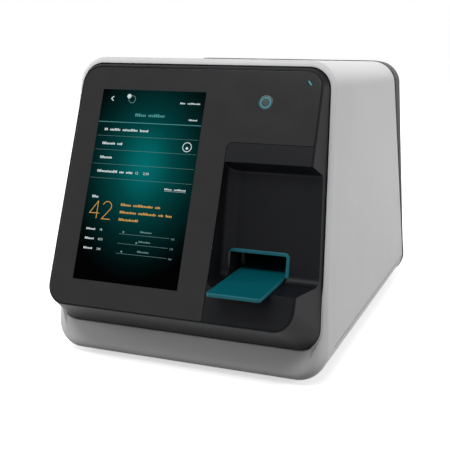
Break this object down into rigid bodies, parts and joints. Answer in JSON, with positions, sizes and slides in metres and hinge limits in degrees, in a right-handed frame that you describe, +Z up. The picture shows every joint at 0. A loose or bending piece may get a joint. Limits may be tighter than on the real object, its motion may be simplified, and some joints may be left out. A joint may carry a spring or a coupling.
{
  "type": "immunoassay analyzer",
  "caption": "Bench immunoassay analyzer with a pale wrap-round housing, a slanted dark front with a portrait display, and a loading recess with a motorised cartridge tray.",
  "frame": {"origin": "middle of the outline, on the surface that the feet stand on", "axes": "+Z up, the display faces -Y, +X to the right of someone who faces the display"},
  "size_m": [0.2248, 0.3632, 0.2317],
  "materials": {
    "pale_housing": "satin, fine grain",
    "dark_cover": "satin",
    "dark_fascia": "satin",
    "cover_glass": "black-backed, glossy",
    "display": "glossy, lit from behind",
    "teal_plastic": "smooth",
    "light_lens": "translucent, lit",
    "white_plastic": "moulded",
    "black_plastic": "moulded",
    "foot_rubber": "matt",
    "steel": "bright",
    "zinc_sheet": "zinc-plated sheet",
    "machined_aluminium": "machined",
    "circuit_board": "green solder mask"
  },
  "bodies": {
    "housing": {"outer_shell": "pale_housing", "base_pan": "pale_housing", "rear_cover": "dark_cover", "front_fascia": "dark_fascia", "front_glass": "cover_glass", "display_panel": "display", "display_frame": "zinc_sheet", "display_board": "circuit_board", "status_light": "light_lens", "ready_light": "light_lens", "slot_liner": "teal_plastic", "tray_rail_left": "steel", "tray_rail_right": "steel", "screw_bearing": "white_plastic", "motor_mount": "zinc_sheet", "tray_motor": "black_plastic", "tray_sensor": "black_plastic", "mechanism_frame": "zinc_sheet", "shutter_guide": "zinc_sheet", "shutter_actuator": "black_plastic", "press_rod_left": "steel", "press_rod_right": "steel", "press_beam": "machined_aluminium", "press_motor": "black_plastic", "reader_housing": "black_plastic", "reader_camera": "machined_aluminium", "heater_plate": "machined_aluminium", "chassis_floor": "zinc_sheet", "chassis_screw_1": "steel", "chassis_screw_2": "steel", "chassis_screw_3": "steel", "chassis_screw_4": "steel", "main_board": "circuit_board", "heat_sink": "machined_aluminium", "rear_board": "circuit_board", "power_supply": "zinc_sheet", "speaker": "black_plastic", "fan_frame": "black_plastic", "power_inlet": "black_plastic", "switch_body": "black_plastic", "usb_ports": "steel", "network_port": "steel", "rear_screw_1": "steel", "rear_screw_2": "steel", "rear_screw_3": "steel", "rear_screw_4": "steel", "foot_front_left": "foot_rubber", "foot_front_right": "foot_rubber", "foot_rear_left": "foot_rubber", "foot_rear_right": "foot_rubber"},
    "tray": {"cartridge_tray": "teal_plastic", "tray_carriage": "black_plastic"},
    "tray_drive": {"tray_screw": "steel"},
    "shutter": {"shutter_door": "black_plastic"},
    "press": {"press_head": "white_plastic"},
    "press_drive": {"press_screw": "steel"},
    "rotor": {"fan_rotor": "black_plastic"},
    "rocker": {"power_rocker": "black_plastic"}
  },
  "joints": [
    {"name": "tray_slide", "type": "slide", "parent": "housing", "child": "tray", "axis": [0, 1, 0], "range_m": [0, 0.054]},
    {"name": "tray_screw_spin", "type": "hinge", "parent": "housing", "child": "tray_drive", "pos_m": [0.0585, -0.04, 0.0679], "axis": [0, 1, 0], "range_deg": [-10, 1955]},
    {"name": "shutter_slide", "type": "slide", "parent": "housing", "child": "shutter", "axis": [0, 0, 1], "range_m": [-0.0149, 0]},
    {"name": "press_slide", "type": "slide", "parent": "housing", "child": "press", "axis": [0, 0, 1], "range_m": [-0.008, 0]},
    {"name": "press_screw_spin", "type": "hinge", "parent": "housing", "child": "press_drive", "pos_m": [0.0585, -0.0376, 0.15], "axis": [0, 0, 1], "range_deg": [-730, 10]},
    {"name": "fan_spin", "type": "hinge", "parent": "housing", "child": "rotor", "pos_m": [0.046, 0.15066, 0.13866], "axis": [0, 0.9911, 0.1328], "continuous": true},
    {"name": "power_rocker_tip", "type": "hinge", "parent": "housing", "child": "rocker", "pos_m": [-0.03, 0.173, 0.03975], "axis": [1, 0, 0], "range_deg": [-16, 0]}
  ],
  "couplings": [
    {"joint": "tray_screw_spin", "follows": "tray_slide", "rad_per_m": 628.32},
    {"joint": "press_screw_spin", "follows": "press_slide", "rad_per_m": 1570.8}
  ]
}
